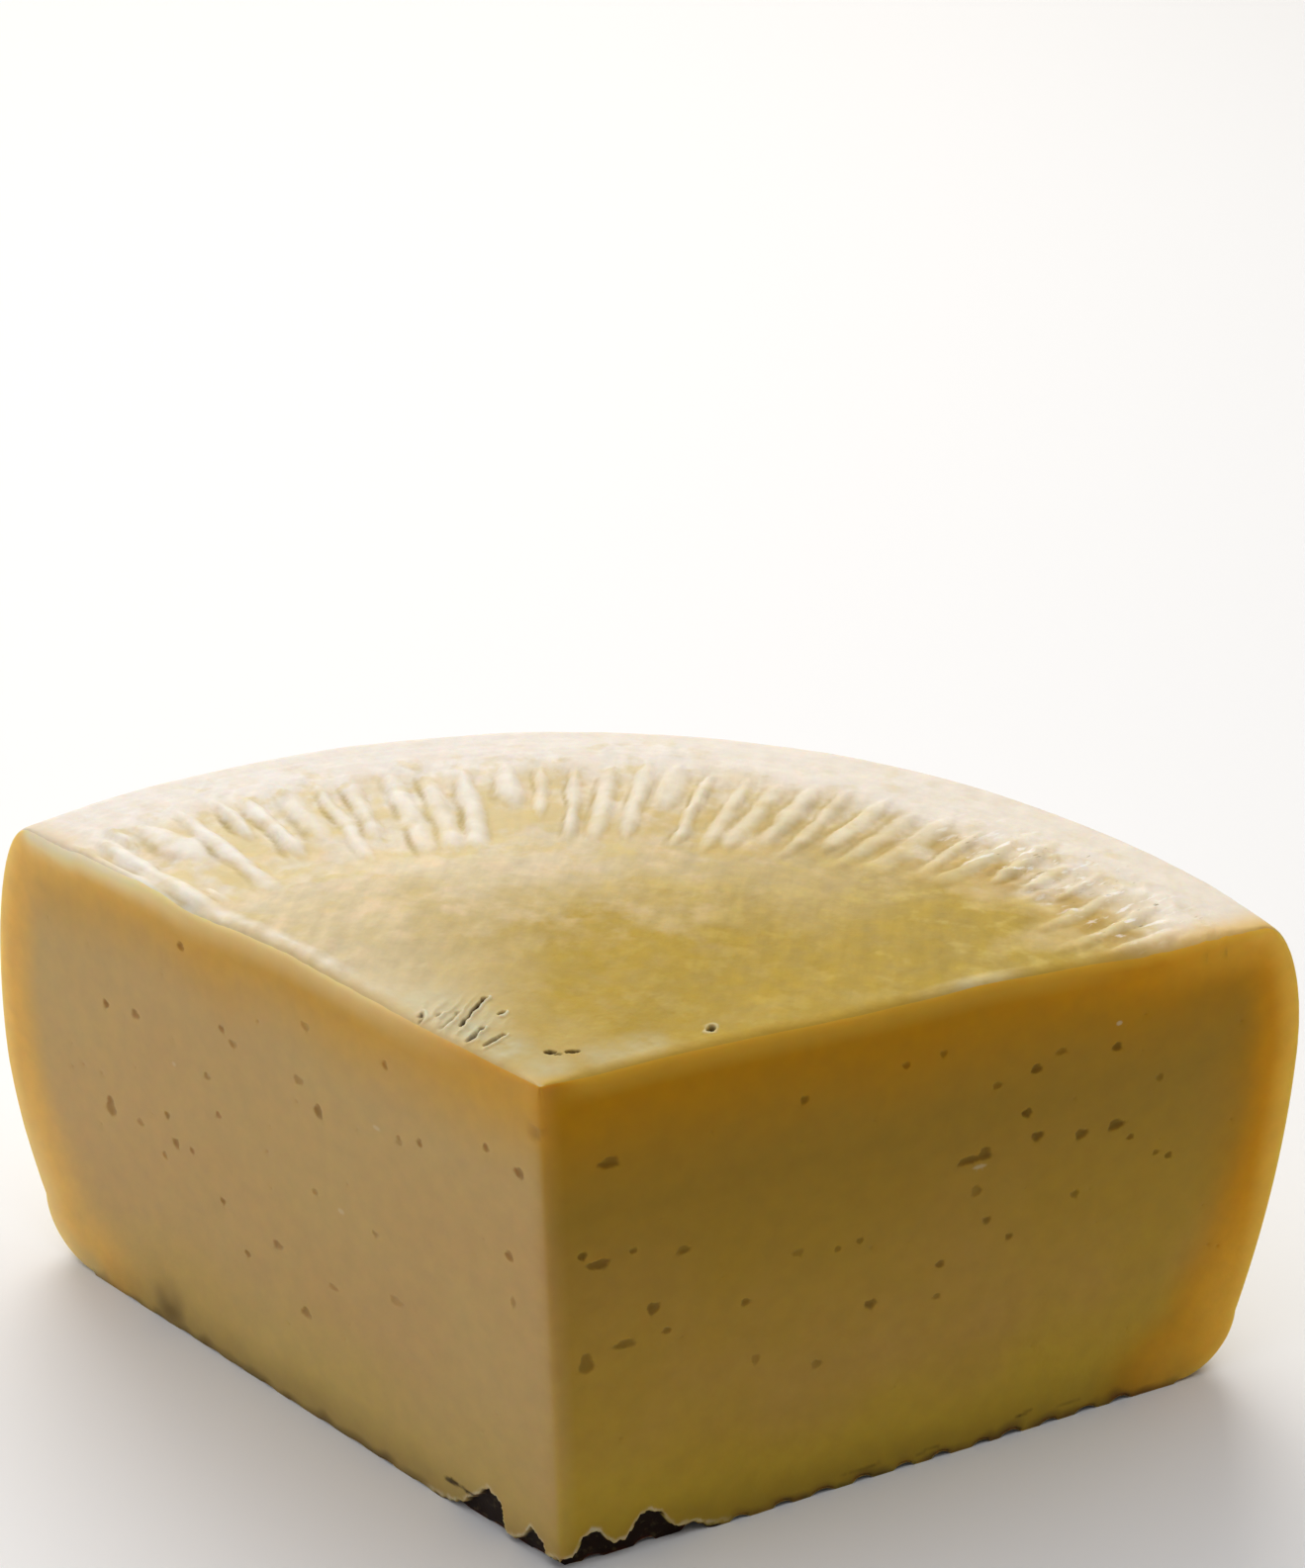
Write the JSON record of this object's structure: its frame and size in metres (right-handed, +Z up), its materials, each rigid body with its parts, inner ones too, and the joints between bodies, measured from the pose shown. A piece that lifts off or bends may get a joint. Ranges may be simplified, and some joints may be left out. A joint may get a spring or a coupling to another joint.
{
  "type": "aged sicilian cheese",
  "caption": "Sector of a basket-pressed aged cheese wheel: pale ridged rind on top, flat cut faces with small eyes, bulging heel and a ring-grooved dark base.",
  "frame": {"origin": "middle of the sector's box, at table height", "axes": "+Z up; -Y towards the tip where the cut faces meet; +Y towards the heel of the wheel; +X across the sector"},
  "size_m": [0.2586, 0.1566, 0.103],
  "materials": {
    "cheese": "waxy, faintly moist cut paste with a pale dry rind"
  },
  "bodies": {
    "root": {"cheese": "cheese"}
  },
  "joints": []
}
